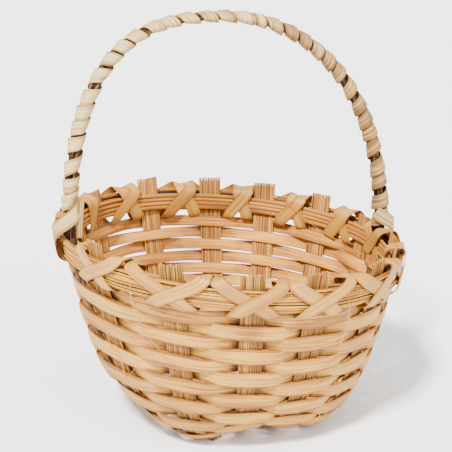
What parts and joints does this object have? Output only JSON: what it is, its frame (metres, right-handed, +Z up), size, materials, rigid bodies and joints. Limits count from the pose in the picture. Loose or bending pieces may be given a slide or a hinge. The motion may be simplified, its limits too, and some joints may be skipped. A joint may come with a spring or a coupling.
{
  "type": "woven fruit basket",
  "caption": "Round plain-woven splint basket with a laced rim, upright stake ends and a tall wrapped hoop handle over an open bowl.",
  "frame": {"origin": "middle of the basket's foot print, on the plane that the woven floor rests on", "axes": "+Z up out of the open bowl, X along the handle with the lower side of the rim at +X, Y square to the handle"},
  "size_m": [0.1875, 0.1879, 0.2193],
  "materials": {
    "splint": "raw split bamboo, fine slivers, matt",
    "weaver": "shaved wood strip, matt with a faint sheen",
    "rim_outer": "fine golden slivers, matt",
    "rim_inner": "flat slivers, matt",
    "lashing": "smooth pale strip, soft sheen",
    "cane": "dark brown cane with bark",
    "wrap": "dry ivory strip, matt"
  },
  "bodies": {
    "root": {"splint_long_1": "splint", "splint_long_2": "splint", "splint_long_3": "splint", "splint_long_4": "splint", "splint_cross_1": "splint", "splint_cross_2": "splint", "splint_cross_3": "splint", "splint_cross_4": "splint", "weaver_row_1": "weaver", "weaver_row_2": "weaver", "weaver_row_3": "weaver", "weaver_row_4": "weaver", "weaver_row_5": "weaver", "weaver_row_6": "weaver", "weaver_row_7": "weaver", "weaver_row_8": "weaver", "weaver_row_9": "weaver", "weaver_row_10": "weaver", "weaver_row_11": "weaver", "weaver_row_12": "weaver", "weaver_row_13": "weaver", "rim_outer_strand_1": "rim_outer", "rim_outer_strand_2": "rim_outer", "rim_outer_strand_3": "rim_outer", "rim_inner_strand_1": "rim_inner", "rim_inner_strand_2": "rim_inner", "rim_lashing_under": "lashing", "rim_lashing_over": "lashing", "handle_cane_1": "cane", "handle_cane_2": "cane", "handle_cane_3": "cane", "handle_wrap": "wrap"}
  },
  "joints": []
}
